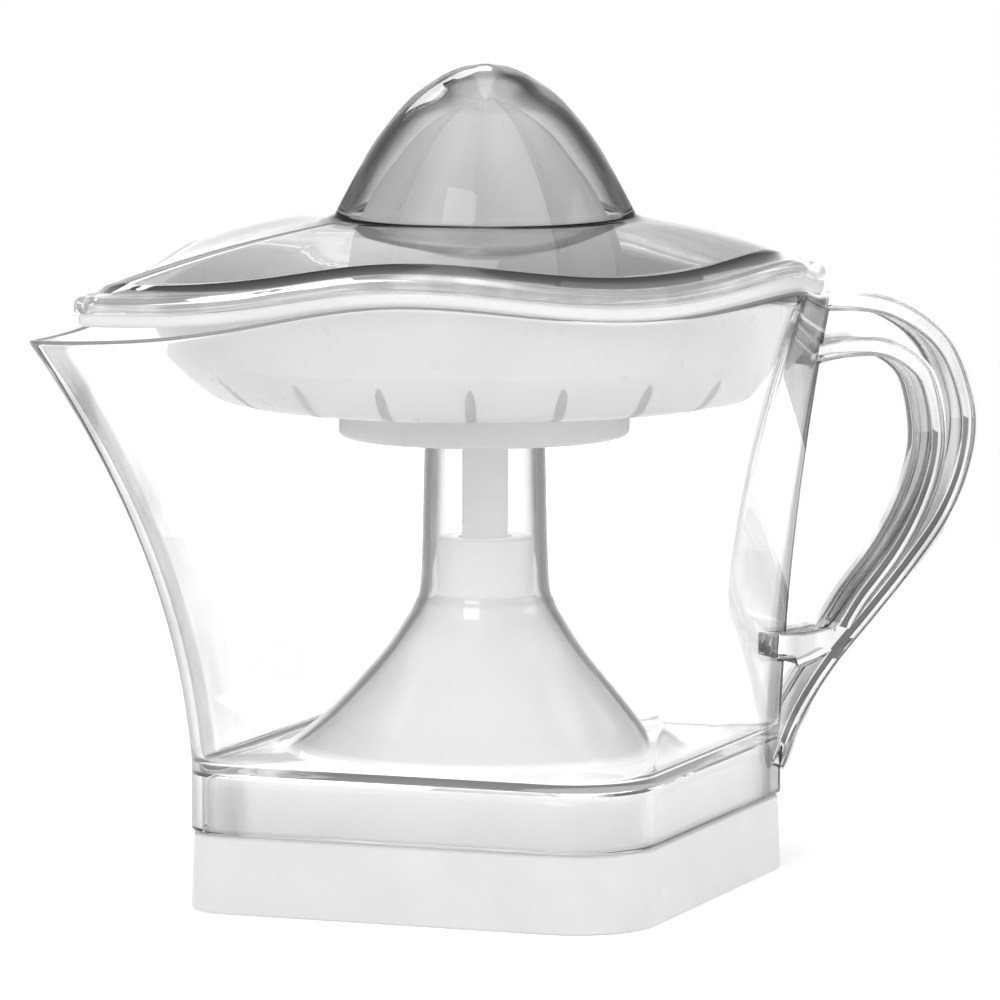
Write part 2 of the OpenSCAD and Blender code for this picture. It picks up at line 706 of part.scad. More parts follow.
module strainer() color("whitesmoke") {
    sa = strainer_angles;
    under = concat(
        [ring(sa, circle_plan(15.5), 135.2), ring(sa, circle_plan(41), 135.4)],
        [for (s = bowl) ring(sa, bowl_plan(s[1], s[2], s[3], 0), s[0])],
        [rim_ring(bowl_plan(bowl_top[0], bowl_top[1], bowl_top[2], 0), -0.4)],
        [rim_ring(bowl_plan(bowl_top[0], bowl_top[1], bowl_top[2], 0), 0)],
        [rim_ring(flange_plan, 0)]
    );
    over = concat(
        [rim_ring(flange_plan, flange_t)],
        [rim_ring(bowl_plan(bowl_top[0], bowl_top[1], bowl_top[2], bowl_wall), flange_t)],
        [for (i = [len(bowl) - 1:-1:0])
            ring(sa, bowl_plan(bowl[i][1], bowl[i][2], bowl[i][3], bowl_wall), bowl[i][0] + bowl_wall * 0.7)],
        [ring(sa, circle_plan(41), 137.4), ring(sa, circle_plan(15), 137.2)],
        [ring(sa, circle_plan(13), 139.8), ring(sa, circle_plan(12.6), 152), ring(sa, circle_plan(11), 152)],
        [ring(sa, circle_plan(11), 135.2)]
    );
    rings = concat(under, over);
    n = len(sa);
    count = len(rings);
    lower = 2 + slot_from;
    upper = 2 + slot_to;
    mirror_of = function (i) len(under) + 2 + (len(bowl) - 1) - (i - 2);
    is_slot = function (i, c) c % columns_per_step == slot_column
        && ((i >= lower && i < upper) || (i >= mirror_of(upper) && i < mirror_of(lower)));
    polyhedron(
        flat(rings),
        concat(
            [for (i = [0:count - 1]) for (c = [0:n - 1]) if (!is_slot(i, c))
                for (f = cell(i, (i + 1) % count, c, n)) f],
            [for (k = [0:slot_count - 1])
                let (c = k * columns_per_step + slot_column, e = (c + 1) % n)
                each concat(
                    flat([for (i = [lower:upper - 1]) let (j = mirror_of(i)) [
                        [i * n + c, (i + 1) * n + c, (j - 1) * n + c],
                        [i * n + c, (j - 1) * n + c, j * n + c],
                        [i * n + e, (j - 1) * n + e, (i + 1) * n + e],
                        [i * n + e, j * n + e, (j - 1) * n + e]
                    ]]),
                    let (i = lower, j = mirror_of(lower))
                    [[i * n + c, j * n + c, j * n + e], [i * n + c, j * n + e, i * n + e]],
                    let (i = upper, j = mirror_of(upper))
                    [[i * n + c, j * n + e, j * n + c], [i * n + c, i * n + e, j * n + e]]
                )]
        )
    );
}

module strainer_collar() color("whitesmoke")
    rotate_extrude($fn = 96) polygon([
        [37.6, 135.1], [37.6, 129.2], [19, 129.2], [19, 126.8], [38.6, 126.8], [40, 128.2], [40, 135.1]
    ]);

// ---------- reamer ----------

columns_per_rib = 9;
rib_phase = 24;
ream_angles = [for (c = [0:rib_count * columns_per_rib - 1]) c * 4];
// Reamer sections from the skirt up: [z, radius at the ribs, depth of the flutes]
ream_outer = [
    [141.2, 39.6, 3.4], [152, 40, 3.8], [166, 39.6, 4.4], [177, 37.6, 4.8], [188, 33.4, 4.8],
    [199, 27, 4.4], [208, 19.6, 3.4], [215.5, 10.8, 1.8]
];
ream_inner = [[141.2, 34.4], [152, 34.2], [168, 32.8], [184, 27.6], [200, 17.6]];

function rib_reach(r, depth, phi) = r - depth * sin(abs(((phi - rib_phase + 720) % 36) / 36 * 180));
function rib_ring(s) = [for (phi = ream_angles) polar(rib_reach(s[1], s[2], phi), phi, s[0])];
function hex_reach(r, phi) = r * cos(30) / cos((phi % 60) - 30);
function hex_ring(r, z) = [for (phi = ream_angles) polar(hex_reach(r, phi), phi, z)];
function bore_ring(r, z) = ring(ream_angles, circle_plan(r), z);

module reamer() color("whitesmoke")
    capped_loft(concat(
        [hex_ring(4.14, hex_top + 0.6), hex_ring(4.14, socket_z)],
        [bore_ring(6.25, socket_z), bore_ring(6.25, stem_flange_z[1] + 0.1)],
        [bore_ring(10, stem_flange_z[1] + 0.1), bore_ring(10, 204)],
        [for (i = [len(ream_inner) - 1:-1:0]) bore_ring(ream_inner[i][1], ream_inner[i][0])],
        [for (s = ream_outer) rib_ring(s)],
        [bore_ring(0.6, reamer_tip_z)]
    ));

stem_flange_z = [126, 128];

module reamer_stem() color("whitesmoke")
    difference() {
        union() {
            translate([0, 0, stem_z[0]]) cylinder(r = 6.15, h = stem_z[1] - stem_z[0]);
            translate([0, 0, stem_flange_z[0]]) cylinder(r = 9.5, h = stem_flange_z[1] - stem_flange_z[0]);
        }
        translate([0, 0, stem_z[0] - 1]) cylinder(r = shaft_r + 0.1, h = 100);
    }

// ---------- lid ----------

lid_lip_h = 3;
dome_base_z = 187.4;
dome_outer = [
    [41.4, dome_base_z], [35.2, 199], [29.5, 208.5], [21, 218.7], [13.5, 224.2], [6.6, 227.4]
];
dome_inner = [
    [38.6, dome_base_z - 2], [32.6, 198], [26.8, 207.2], [18.9, 216.2], [9.6, 222.4]
];

function lid_plan(inset) = [
    88.6 - inset, 103.6 - inset, 4.6 - min(3, inset / 3), 0, 0, 120.4 - inset, 6.2 - min(3, inset / 3)
];
function lid_ring(inset, lift) = [
    for (phi = around) polar(reach(lid_plan(inset), phi), phi, flange_top(phi) + skin + lift)
];
// A ring of the sloping roof, from the lip at s = 0 to the dome at s = 1
function roof_ring(s, inset, lift, dome_r, dome_z) = [
    for (phi = around)
    let (
        r = reach(lid_plan(inset), phi) * (1 - s) + dome_r * s,
        z = (flange_top(phi) + skin + lift) * (1 - s) + dome_z * s + 1.6 * sin(180 * s)
    )
    polar(r, phi, z)
];

module lid() color([0.85, 0.9, 0.92, 0.45])
    capped_loft(concat(
        [ring(around, circle_plan(0.8), 225.2)],
        [for (i = [len(dome_inner) - 1:-1:0]) ring(around, circle_plan(dome_inner[i][0]), dome_inner[i][1])],
        [for (s = [0.7, 0.4, 0.02])
            roof_ring(s, 4, lid_lip_h + 2.4 - lid_t, 38.6, dome_base_z - 2.2)],
        [lid_ring(lid_t, lid_lip_h), lid_ring(lid_t, 0), lid_ring(0, 0)],
        [lid_ring(0, lid_lip_h - 0.6), lid_ring(1, lid_lip_h + 1), lid_ring(3, lid_lip_h + 2.2)],
        [for (s = [0.35, 0.7]) roof_ring(s, 3, lid_lip_h + 2.4, 41.4, dome_base_z)],
        [for (p = dome_outer) ring(around, circle_plan(p[0]), p[1])],
        [ring(around, circle_plan(0.8), dome_top_z)]
    ));

// ---------- nodes ----------

motor_housing();
drive_tower();
bottom_cover();
rubber_feet();
cover_screws();
cord_gland();
gear_plate();
plate_screws();
lower_bush();
gear_pins();
gear_cover();
gear_cover_screws();
stator_core();
coil_bobbins();
stator_coils();
terminal_block();
switch_body();
switch_lever();
return_spring();
thrust_pad();
rotor_magnet();
rotor_shaft();
rotor_pinion();
idler_gear_1();
idler_gear_2();
output_gear();
drive_shaft();
shaft_bush();
shaft_seal();
jug();
jug_chimney();
jug_handle();
strainer();
strainer_collar();
reamer_stem();
reamer();
lid();
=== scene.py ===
import json
import math

import bpy
import numpy as np
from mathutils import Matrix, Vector


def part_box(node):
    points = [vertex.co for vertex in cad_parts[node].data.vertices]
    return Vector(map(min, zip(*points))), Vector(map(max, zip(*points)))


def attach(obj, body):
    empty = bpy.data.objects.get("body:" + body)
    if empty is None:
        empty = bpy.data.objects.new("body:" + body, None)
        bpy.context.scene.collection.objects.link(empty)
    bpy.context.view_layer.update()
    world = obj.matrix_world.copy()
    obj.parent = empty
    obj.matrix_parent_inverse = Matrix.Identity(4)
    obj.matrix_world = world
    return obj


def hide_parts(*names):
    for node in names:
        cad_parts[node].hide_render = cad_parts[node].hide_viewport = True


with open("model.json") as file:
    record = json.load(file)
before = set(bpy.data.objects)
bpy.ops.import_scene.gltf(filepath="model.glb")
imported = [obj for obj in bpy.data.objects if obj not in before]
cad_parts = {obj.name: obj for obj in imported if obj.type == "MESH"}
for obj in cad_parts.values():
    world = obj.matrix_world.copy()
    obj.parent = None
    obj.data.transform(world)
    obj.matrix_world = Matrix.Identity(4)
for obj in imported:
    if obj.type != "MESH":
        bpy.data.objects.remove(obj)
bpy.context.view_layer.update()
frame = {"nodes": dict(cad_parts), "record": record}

# ---------- driving sizes, in millimetres, as in the CAD source ----------

MM = 0.001
BASE_HALF = 65
BAND_H = 21.4
CORNER_R = {"handle": 3.9, "side": 23, "spout": 13.2}
FLOOR_Z = 40.2
RIM_Z = 165.6
RIM_R = 88
JUG_RISE = 122                # height over which the jug's walls flare
SPOUT_RISE = 117.4            # height over which its spout corner does
SPOUT_REACH = 133.9
SPOUT_FOOT = 86.4
HANDLE_CORNER_REACH = 105.8
HANDLE_CORNER_FOOT = 90.3
SIDE_CORNER_FOOT = 82
CHIMNEY_R = 16.4
CHIMNEY_TOP_Z = 130.8
BELL_FOOT_R = 56              # inside this radius the jug is its chimney
JUG_WALL = 2.8
CHIMNEY_WALL = 2.2
BELL_GAP = 0.7
HOUSING_WALL = 2.4
HANDLE_W = 14
STRAND_T = 3
FLANGE_T = 3.3
BOWL_WALL = 2
SLOT_COUNT = 20
RIB_COUNT = 10
RIB_PHASE = 24
REAMER_TIP_Z = 220
DOME_BASE_Z = 187.4
DOME_TOP_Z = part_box("lid")[1].z / MM
LID_LIP_H = 3
LID_T = 2.2
REST_GAP = 0.3


# ---------- plan outlines ----------

def corner_reach(a, tip, r, away):
    """Reach of a circle of radius a with a tangent corner that ends at tip, rounded by r."""
    d = np.maximum(tip - r, 1e-6)
    alpha = np.arccos(np.clip((a - r) / d, -1, 1))
    beta = np.arctan2(r * np.sin(alpha), d + r * np.cos(alpha))
    arc = d * np.cos(away) + np.sqrt(np.maximum(0, r ** 2 - (d * np.sin(away)) ** 2))
    side = a / np.cos(np.minimum(np.abs(alpha - away), 1.4))
    reach_here = np.where(away < beta, arc, np.where(away < alpha, side, a))
    return np.where(tip <= a, a, reach_here)


def reach(plan, phi):
    """Reach of a plan (a, handle tip, r, side tips, r, spout tip, r) at the angles phi, in degrees."""
    def away(at):
        return np.arccos(np.clip(np.cos(np.radians(phi - at)), -1, 1))
    a, handle, handle_r, side, side_r, spout, spout_r = plan
    return np.maximum.reduce([
        corner_reach(a, handle, handle_r, away(0)),
        corner_reach(a, side, side_r, away(90)),
        corner_reach(a, side, side_r, away(270)),
        corner_reach(a, spout, spout_r, away(180)),
    ])


def circle_plan(r):
    """A plan without corners."""
    return (r, 0, 0, 0, 0, 0, 0)


def square_plan(a, handle_r, side_r, spout_r):
    """A square with half its side a and its corners on the axes, each with its own radius."""
    def tip(r):
        return (a - r) * math.sqrt(2) + r
    return (a, tip(handle_r), handle_r, tip(side_r), side_r, tip(spout_r), spout_r)


def base_plan(inset):
    """The outline of the base, moved inwards by inset."""
    return square_plan(
        BASE_HALF - inset, max(3, CORNER_R["handle"] - inset / 2),
        CORNER_R["side"] - inset, CORNER_R["spout"] - inset)


def flare(t, k):
    """Grows from 0 to 1 as t does, with a share k of it even and the rest more and more steeply."""
    return k * t + (1 - k) * t ** 2


def jug_plan(z, inset):
    """The plan of the jug's wall at height z, moved inwards by inset."""
    t = np.maximum(0, (z - FLOOR_Z) / JUG_RISE)
    ts = np.maximum(0, (z - FLOOR_Z) / SPOUT_RISE)
    a = BASE_HALF - 0.3 + (RIM_R - BASE_HALF + 0.3) * flare(t, 0.35)
    handle = HANDLE_CORNER_FOOT + (HANDLE_CORNER_REACH - HANDLE_CORNER_FOOT) * flare(t, 0.3)
    spout = SPOUT_FOOT + (SPOUT_REACH - SPOUT_FOOT) * flare(ts, 0.2)
    return (
        a - inset, handle - inset, CORNER_R["handle"] + 2 * t - inset,
        SIDE_CORNER_FOOT + 7 * t - inset, CORNER_R["side"] + 45 * t ** 1.5 - inset,
        spout - inset, np.maximum(4.2, CORNER_R["spout"] - 9 * ts) - inset)


def lid_plan(inset):
    """The outline of the lid, moved inwards by inset."""
    r_cut = min(3, inset / 3)
    return (88.6 - inset, 103.6 - inset, 4.6 - r_cut, 0, 0, 120.4 - inset, 6.2 - r_cut)


def spread(*spans):
    """Angles in degrees, close together where a plan has its corners, mirrored about the X axis."""
    half = np.concatenate([np.arange(start, stop, step) for start, stop, step in spans])
    return np.concatenate([half, [180], 360 - half[:0:-1]])


AROUND = spread(
    (0, 3, 0.3), (3, 6, 0.75), (6, 12, 1.5), (12, 60, 3), (60, 120, 2),
    (120, 162, 3), (162, 174, 1), (174, 180, 0.4))


# ---------- the wavy rim ----------

def rim_height(phi):
    """Height of the jug's rim at the angles phi."""
    c = [np.cos(np.radians(k * phi)) for k in (1, 2, 3, 4)]
    return RIM_Z + c[0] - 2.6 * c[1] + 1.2 * c[2] - 3.2 * c[3]


def flange_bottom(phi):
    towards_spout = np.maximum(0, -np.cos(np.radians(phi)))
    return rim_height(phi) + REST_GAP + 2.9 * towards_spout ** 12


def flange_top(phi):
    return flange_bottom(phi) + FLANGE_T


# ---------- rings and skins ----------

def ring(plan, z, phi=AROUND):
    r = reach(plan, phi)
    p = np.radians(phi)
    return np.column_stack([r * np.cos(p), r * np.sin(p), np.broadcast_to(z, p.shape)])


def lathe_rings(profile, phi=AROUND):
    return [ring(circle_plan(r), z, phi) for r, z in profile]


def curve_through(points, steps=8):
    """A smooth run through points: Catmull-Rom, with even steps in each span."""
    p = np.array(points, float)
    padded = np.vstack([2 * p[0] - p[1], p, 2 * p[-1] - p[-2]])
    run = []
    for a, b, c, d in zip(padded, padded[1:], padded[2:], padded[3:]):
        for t in np.arange(steps) / steps:
            run.append(
                b + (c - a) * t / 2 + (a - 2.5 * b + 2 * c - d / 2) * t ** 2
                + (1.5 * b - 1.5 * c + (d - a) / 2) * t ** 3)
    return np.array(run + [p[-1]])


def shifted(profile, by):
    """A profile moved sideways, square to its own run."""
    d = np.gradient(profile, axis=0)
    d /= np.linalg.norm(d, axis=1)[:, None]
    return profile + by * np.column_stack([-d[:, 1], d[:, 0]])


def arc(centre, r, start, stop, steps=6):
    """Points (x, z) of an arc, with its angles in degrees from +x towards +z."""
    a = np.radians(np.linspace(start, stop, steps))
    return [(centre[0] + r * c, centre[1] + r * s) for c, s in zip(np.cos(a), np.sin(a))]


def skin(name, rings, closed=True):
    """A mesh object through rings of points in millimetres. An open run gets a face at each end."""
    n, count = len(rings[0]), len(rings)
    column = np.arange(n)
    after = (column + 1) % n
    faces = []
    for i in range(count if closed else count - 1):
        j = (i + 1) % count
        faces += np.column_stack([i * n + column, i * n + after, j * n + after, j * n + column]).tolist()
    if not closed:
        faces += [column[::-1].tolist(), ((count - 1) * n + column).tolist()]
    return solid(name, np.vstack(rings), faces)


def solid(name, points, faces):
    mesh = bpy.data.meshes.new(name)
    mesh.from_pydata((np.asarray(points) * MM).tolist(), [], faces)
    mesh.validate()
    made = bpy.data.objects.new(name, mesh)
    bpy.context.scene.collection.objects.link(made)
    return made


def prism(name, outline, half_width, bevel):
    """A plate with an (x, z) outline and rounded long edges, centred on the XZ plane."""
    o = np.array(outline, float)
    n = len(o)
    d = np.roll(o, -1, axis=0) - np.roll(o, 1, axis=0)
    d /= np.maximum(np.linalg.norm(d, axis=1)[:, None], 1e-9)
    inward = np.column_stack([-d[:, 1], d[:, 0]])
    rings = []
    turns = np.radians(np.linspace(0, 90, 5))
    steps = [(bevel * (1 - math.sin(t)), half_width - bevel * (1 - math.cos(t))) for t in turns]
    for inset, y in [(i, -y) for i, y in steps] + [(i, y) for i, y in steps[::-1]]:
        p = o + inward * inset
        rings.append(np.column_stack([p[:, 0], np.full(n, y), p[:, 1]]))
    return skin(name, rings, closed=False)


def combine(target, other, operation):
    """A boolean of two closed solids. The second one is used up."""
    step = target.modifiers.new("boolean", "BOOLEAN")
    step.operation, step.solver, step.object = operation, "MANIFOLD", other
    evaluated = target.evaluated_get(bpy.context.evaluated_depsgraph_get())
    mesh = bpy.data.meshes.new_from_object(evaluated)
    target.modifiers.clear()
    target.data = mesh
    bpy.data.objects.remove(other)


def mark(piece, name, value_at):
    """Writes an attribute that a material reads, from a function of x, y and z in millimetres."""
    at = np.array([v.co for v in piece.data.vertices]) / MM
    attribute = piece.data.attributes.new(name, "FLOAT", "POINT")
    attribute.data.foreach_set("value", np.clip(value_at(*at.T), 0, 1).astype(np.float32))


def finish_piece(piece, body, nodes, material, sharp=35):
    """Smooth shading, the material, the body it rides on and the CAD nodes it stands for."""
    piece.data.materials.clear()
    piece.data.materials.append(material)
    piece.data.shade_smooth()
    piece.data.set_sharp_from_angle(angle=math.radians(sharp))
    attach(piece, body)
    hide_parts(*nodes)


# ---------- materials ----------

class Nodes:
    """Short ways to add nodes to a node tree."""

    def __init__(self, tree):
        self.tree = tree

    def add(self, kind, **settings):
        node = self.tree.nodes.new(kind)
        for key, value in settings.items():
            if key in node.inputs:
                node.inputs[key].default_value = value
            else:
                setattr(node, key, value)
        return node

    def link(self, source, target):
        self.tree.links.new(source, target)

    def ramp(self, factor, *stops):
        """A colour ramp through (position, colour) stops."""
        node = self.add("ShaderNodeValToRGB")
        while len(node.color_ramp.elements) < len(stops):
            node.color_ramp.elements.new(0.5)
        for element, (position, colour) in zip(node.color_ramp.elements, stops):
            element.position = position
            element.color = (*colour, 1) if len(colour) == 3 else colour
        self.link(factor, node.inputs["Fac"])
        return node.outputs["Color"]

    def spread_value(self, factor, low, high, start=0.0, stop=1.0):
        """Maps factor from start..stop to low..high, and clamps it there."""
        node = self.add("ShaderNodeMapRange")
        for name, value in (("From Min", start), ("From Max", stop), ("To Min", low), ("To Max", high)):
            node.inputs[name].default_value = value
        self.link(factor, node.inputs["Value"])
        return node.outputs["Result"]

    def attribute(self, name):
        return self.add("ShaderNodeAttribute", attribute_name=name).outputs["Fac"]

    def mixed(self, factor, first, second, blend="MIX"):
        """The first colour where factor is 0; where it is 1 the second, or the two blended."""
        node = self.add("ShaderNodeMix", data_type="RGBA", blend_type=blend)
        colours = [socket for socket in node.inputs if socket.type == "RGBA"]
        self.link(factor, node.inputs["Factor"])
        self.link(first, colours[0])
        self.link(second, colours[1])
        return next(socket for socket in node.outputs if socket.type == "RGBA")


class Shader(Nodes):
    """A new node material with a Principled shader."""

    def __init__(self, name):
        self.material = bpy.data.materials.new(name)
        self.material.use_nodes = True
        super().__init__(self.material.node_tree)
        self.surface = self.tree.nodes["Principled BSDF"]
        self.output = self.tree.nodes["Material Output"]
        self.place = self.add("ShaderNodeTexCoord").outputs["Object"]

    def set(self, **values):
        for key, value in values.items():
            self.surface.inputs[key.replace("_", " ")].default_value = value

    def noise(self, scale, detail=3.0, rough=0.5, stretch=(1, 1, 1)):
        mapping = self.add("ShaderNodeMapping")
        mapping.inputs["Scale"].default_value = stretch
        self.link(self.place, mapping.inputs["Vector"])
        node = self.add("ShaderNodeTexNoise", Scale=scale, Detail=detail, Roughness=rough)
        self.link(mapping.outputs["Vector"], node.inputs["Vector"])
        return node.outputs["Fac"]

    def colour(self, socket):
        self.link(socket, self.surface.inputs["Base Color"])

    def roughness(self, factor, low, high):
        self.link(self.spread_value(factor, low, high), self.surface.inputs["Roughness"])

    def glow(self, strength):
        """A little light of its own where the attribute "inside" says so, in place of the light that
        bounces about between clear walls and is lost to the limit on bounces."""
        light = self.spread_value(self.attribute("inside"), 0, strength)
        self.link(light, self.surface.inputs["Emission Strength"])
        self.set(Emission_Color=(1, 1, 1, 1))

    def bump(self, height, strength, distance):
        node = self.add("ShaderNodeBump", Strength=strength, Distance=distance)
        self.link(height, node.inputs["Height"])
        self.link(node.outputs["Normal"], self.surface.inputs["Normal"])


def grey(v, tint=0.0):
    """A grey of value v, warmed by tint."""
    return (v + tint, v, v - tint)


def white_plastic():
    """Glossy white ABS with a faint orange peel, and a painted glow where the attribute "inside" says
    so.
    """
    s = Shader("white_gloss_plastic")
    s.colour(s.ramp(s.noise(35), (0.35, grey(0.62)), (0.65, grey(0.66))))
    s.roughness(s.noise(90), 0.16, 0.24)
    s.bump(s.noise(420, 2), 0.06, 0.0004)
    s.set(Coat_Weight=0.25, Coat_Roughness=0.08)
    s.glow(0.3)
    return s.material


def milky_plastic():
    """Slightly translucent white polypropylene, as the strainer and the reamer are moulded in, with a
    painted glow where the attribute "inside" says so.
    """
    s = Shader("milky_plastic")
    s.colour(s.ramp(s.noise(28), (0.35, grey(0.66)), (0.65, grey(0.7))))
    s.roughness(s.noise(120), 0.24, 0.34)
    s.bump(s.noise(500, 2), 0.02, 0.0003)
    s.set(Subsurface_Weight=0.25, Subsurface_Scale=0.004, Subsurface_Radius=(1, 1, 1))
    s.glow(0.18)
    return s.material


def clear_plastic(name, clearness, lets_through):
    """Clear styrene. It darkens where the line of sight runs along the wall, as thick edges do:
    a little on flat walls, and much more where the attribute "curved" says that the wall is round.
    The attribute "strand" adds streaks and "tinted" an even grey, both painted shade; "inside" adds a
    painted glow."""
    s = Shader(name)
    facing = s.add("ShaderNodeLayerWeight", Blend=0.5).outputs["Facing"]
    c = clearness
    flat = s.ramp(
        facing, (0.0, grey(c)), (0.6, grey(0.98 * c)), (0.85, grey(0.92 * c)), (1.0, grey(0.4)))
    round_wall = s.ramp(
        facing, (0.0, grey(c)), (0.15, grey(0.95 * c)), (0.35, grey(0.7 * c)), (0.65, grey(0.4)),
        (1.0, grey(0.12)))
    # painted shade: grey streaks, laid on the handle, the wall's corners and the lid's lip
    streaks = s.noise(55, 3, 0.5, (1, 1, 0.12))
    strand = s.ramp(
        streaks, (0.38, grey(0.6)), (0.47, grey(0.93)), (0.53, grey(0.96)), (0.62, grey(0.7)))
    # painted shade: an even grey, laid on the lid's roof and lip
    tint = s.ramp(facing, (0.0, grey(0.84)), (1.0, grey(0.76)))
    wall = s.mixed(s.attribute("curved"), flat, round_wall)
    wall = s.mixed(s.attribute("painted_shade"), wall, tint, "MULTIPLY")
    s.colour(s.mixed(s.attribute("strand"), wall, strand, "MULTIPLY"))
    s.glow(0.35)
    s.roughness(s.noise(60), 0.0, 0.02)
    s.bump(s.noise(22, 1), 0.08, 0.0006)
    s.set(Transmission_Weight=1.0, IOR=1.49)
    through = s.add("ShaderNodeBsdfTransparent")
    through.inputs["Color"].default_value = (*grey(lets_through), 1)
    mix = s.add("ShaderNodeMixShader")
    s.link(s.add("ShaderNodeLightPath").outputs["Is Shadow Ray"], mix.inputs["Fac"])
    s.link(s.surface.outputs["BSDF"], mix.inputs[1])
    s.link(through.outputs["BSDF"], mix.inputs[2])
    s.link(mix.outputs["Shader"], s.output.inputs["Surface"])
    return s.material


def moulded(name, dark, light, rough=(0.4, 0.55)):
    """Plain moulded plastic or rubber, with a fine grain."""
    s = Shader(name)
    s.colour(s.ramp(s.noise(60), (0.3, dark), (0.7, light)))
    s.roughness(s.noise(150), *rough)
    s.bump(s.noise(700, 4), 0.15, 0.0003)
    return s.material


def metal(name, dark, light, rough, stretch):
    """Bare metal with drawn or ground streaks along its least stretched axis."""
    s = Shader(name)
    streaks = s.noise(900, 4, 0.6, stretch)
    s.colour(s.ramp(streaks, (0.3, dark), (0.7, light)))
    s.roughness(streaks, *rough)
    s.bump(streaks, 0.12, 0.0001)
    s.set(Metallic=1.0)
    return s.material


def banded(name, dark, light, scale, direction, metallic):
    """Fine parallel bands: the sheets of a core or the turns of a winding."""
    s = Shader(name)
    wave = s.add("ShaderNodeTexWave", Scale=scale, Distortion=0.4, bands_direction=direction)
    s.link(s.place, wave.inputs["Vector"])
    s.colour(s.ramp(wave.outputs["Fac"], (0.2, dark), (0.6, light)))
    s.roughness(wave.outputs["Fac"], 0.5, 0.3)
    s.bump(wave.outputs["Fac"], 0.6, 0.0003)
    s.set(Metallic=metallic)
    return s.material


MATERIALS = {
    "white_plastic": white_plastic(),
    "milky_plastic": milky_plastic(),
    "clear_plastic": clear_plastic("clear_plastic", 0.985, 0.985),
    "smoky_plastic": clear_plastic("clear_lid_plastic", 0.87, 0.78),
    "inner_plastic": moulded("grey_white_plastic", grey(0.66, 0.01), grey(0.74, 0.01)),
    "steel": metal("ground_steel", grey(0.42), grey(0.62), (0.22, 0.38), (1, 1, 0.05)),
    "zinc_plate": metal("zinc_plate", grey(0.45, -0.01), grey(0.6, -0.01), (0.35, 0.5), (0.1, 1, 1)),
    "laminations": banded("core_sheets", grey(0.09), grey(0.22), 320, "Z", 0.8),
    "copper": banded("enamelled_copper", (0.28, 0.09, 0.03), (0.62, 0.25, 0.1), 300, "X", 0.9),
    "bronze": metal("sintered_bronze", (0.36, 0.22, 0.1), (0.55, 0.38, 0.2), (0.4, 0.6), (1, 1, 1)),
    "nylon": moulded("nylon", (0.72, 0.69, 0.6), (0.8, 0.77, 0.68), (0.35, 0.5)),
    "magnet": moulded("ferrite", grey(0.06), grey(0.12), (0.5, 0.7)),
    "black_plastic": moulded("black_plastic", grey(0.02), grey(0.04)),
    "rubber": moulded("rubber", grey(0.045), grey(0.075), (0.6, 0.8)),
}


# ---------- base ----------

CHIMNEY = curve_through([
    (57.5, FLOOR_Z), (53, 42.2), (44.5, 48.8), (35.1, 58.4), (27.6, 67), (22.1, 75),
    (19, 80.6), (17.3, 89), (CHIMNEY_R, CHIMNEY_TOP_Z)])
PLATFORM_HALF = 61.1
PLATFORM_TOP = 37.3
PLATFORM_ROUND = 3.4
HUB_R = 13
HUB_TOP = 98.6
SHAFT_BORE_R = 7.2
BUSH_SEAT_R = 9.05
BUSH_SEAT_Z = (80, 95)
BELL_END_Z = 81               # the bell's outside meets the hub here, and its inside a little lower
ROOM_HALF = 58.7              # half the side of the room for the motor
COVER_SEAT_HALF = BASE_HALF - 2.6
GLAND = (-40, BASE_HALF, 11)  # along the wall, out from the axis, and up
GLAND_HOLE_R = 5


def shoulder(inset, z):
    """A ring round the platform that the jug's skirt fits over."""
    return ring(square_plan(PLATFORM_HALF - inset, 3, 20, 10), z)


def room(half, z):
    """A ring round the square room inside the base."""
    return ring(square_plan(half, 3, 18, 9), z)


def gland_hole():
    """A round cutter where the cord's gland goes through the wall, at the back."""
    turn = math.radians(-45)
    along, out, up = GLAND
    hole = skin(
        "hole", lathe_rings([(GLAND_HOLE_R, -10), (GLAND_HOLE_R, 10)], np.arange(0, 360, 10)),
        closed=False)
    hole.rotation_euler = (math.radians(90), 0, turn)
    hole.location = Vector((
        along * math.cos(turn) - out * math.sin(turn),
        along * math.sin(turn) + out * math.cos(turn), up)) * MM
    return hole


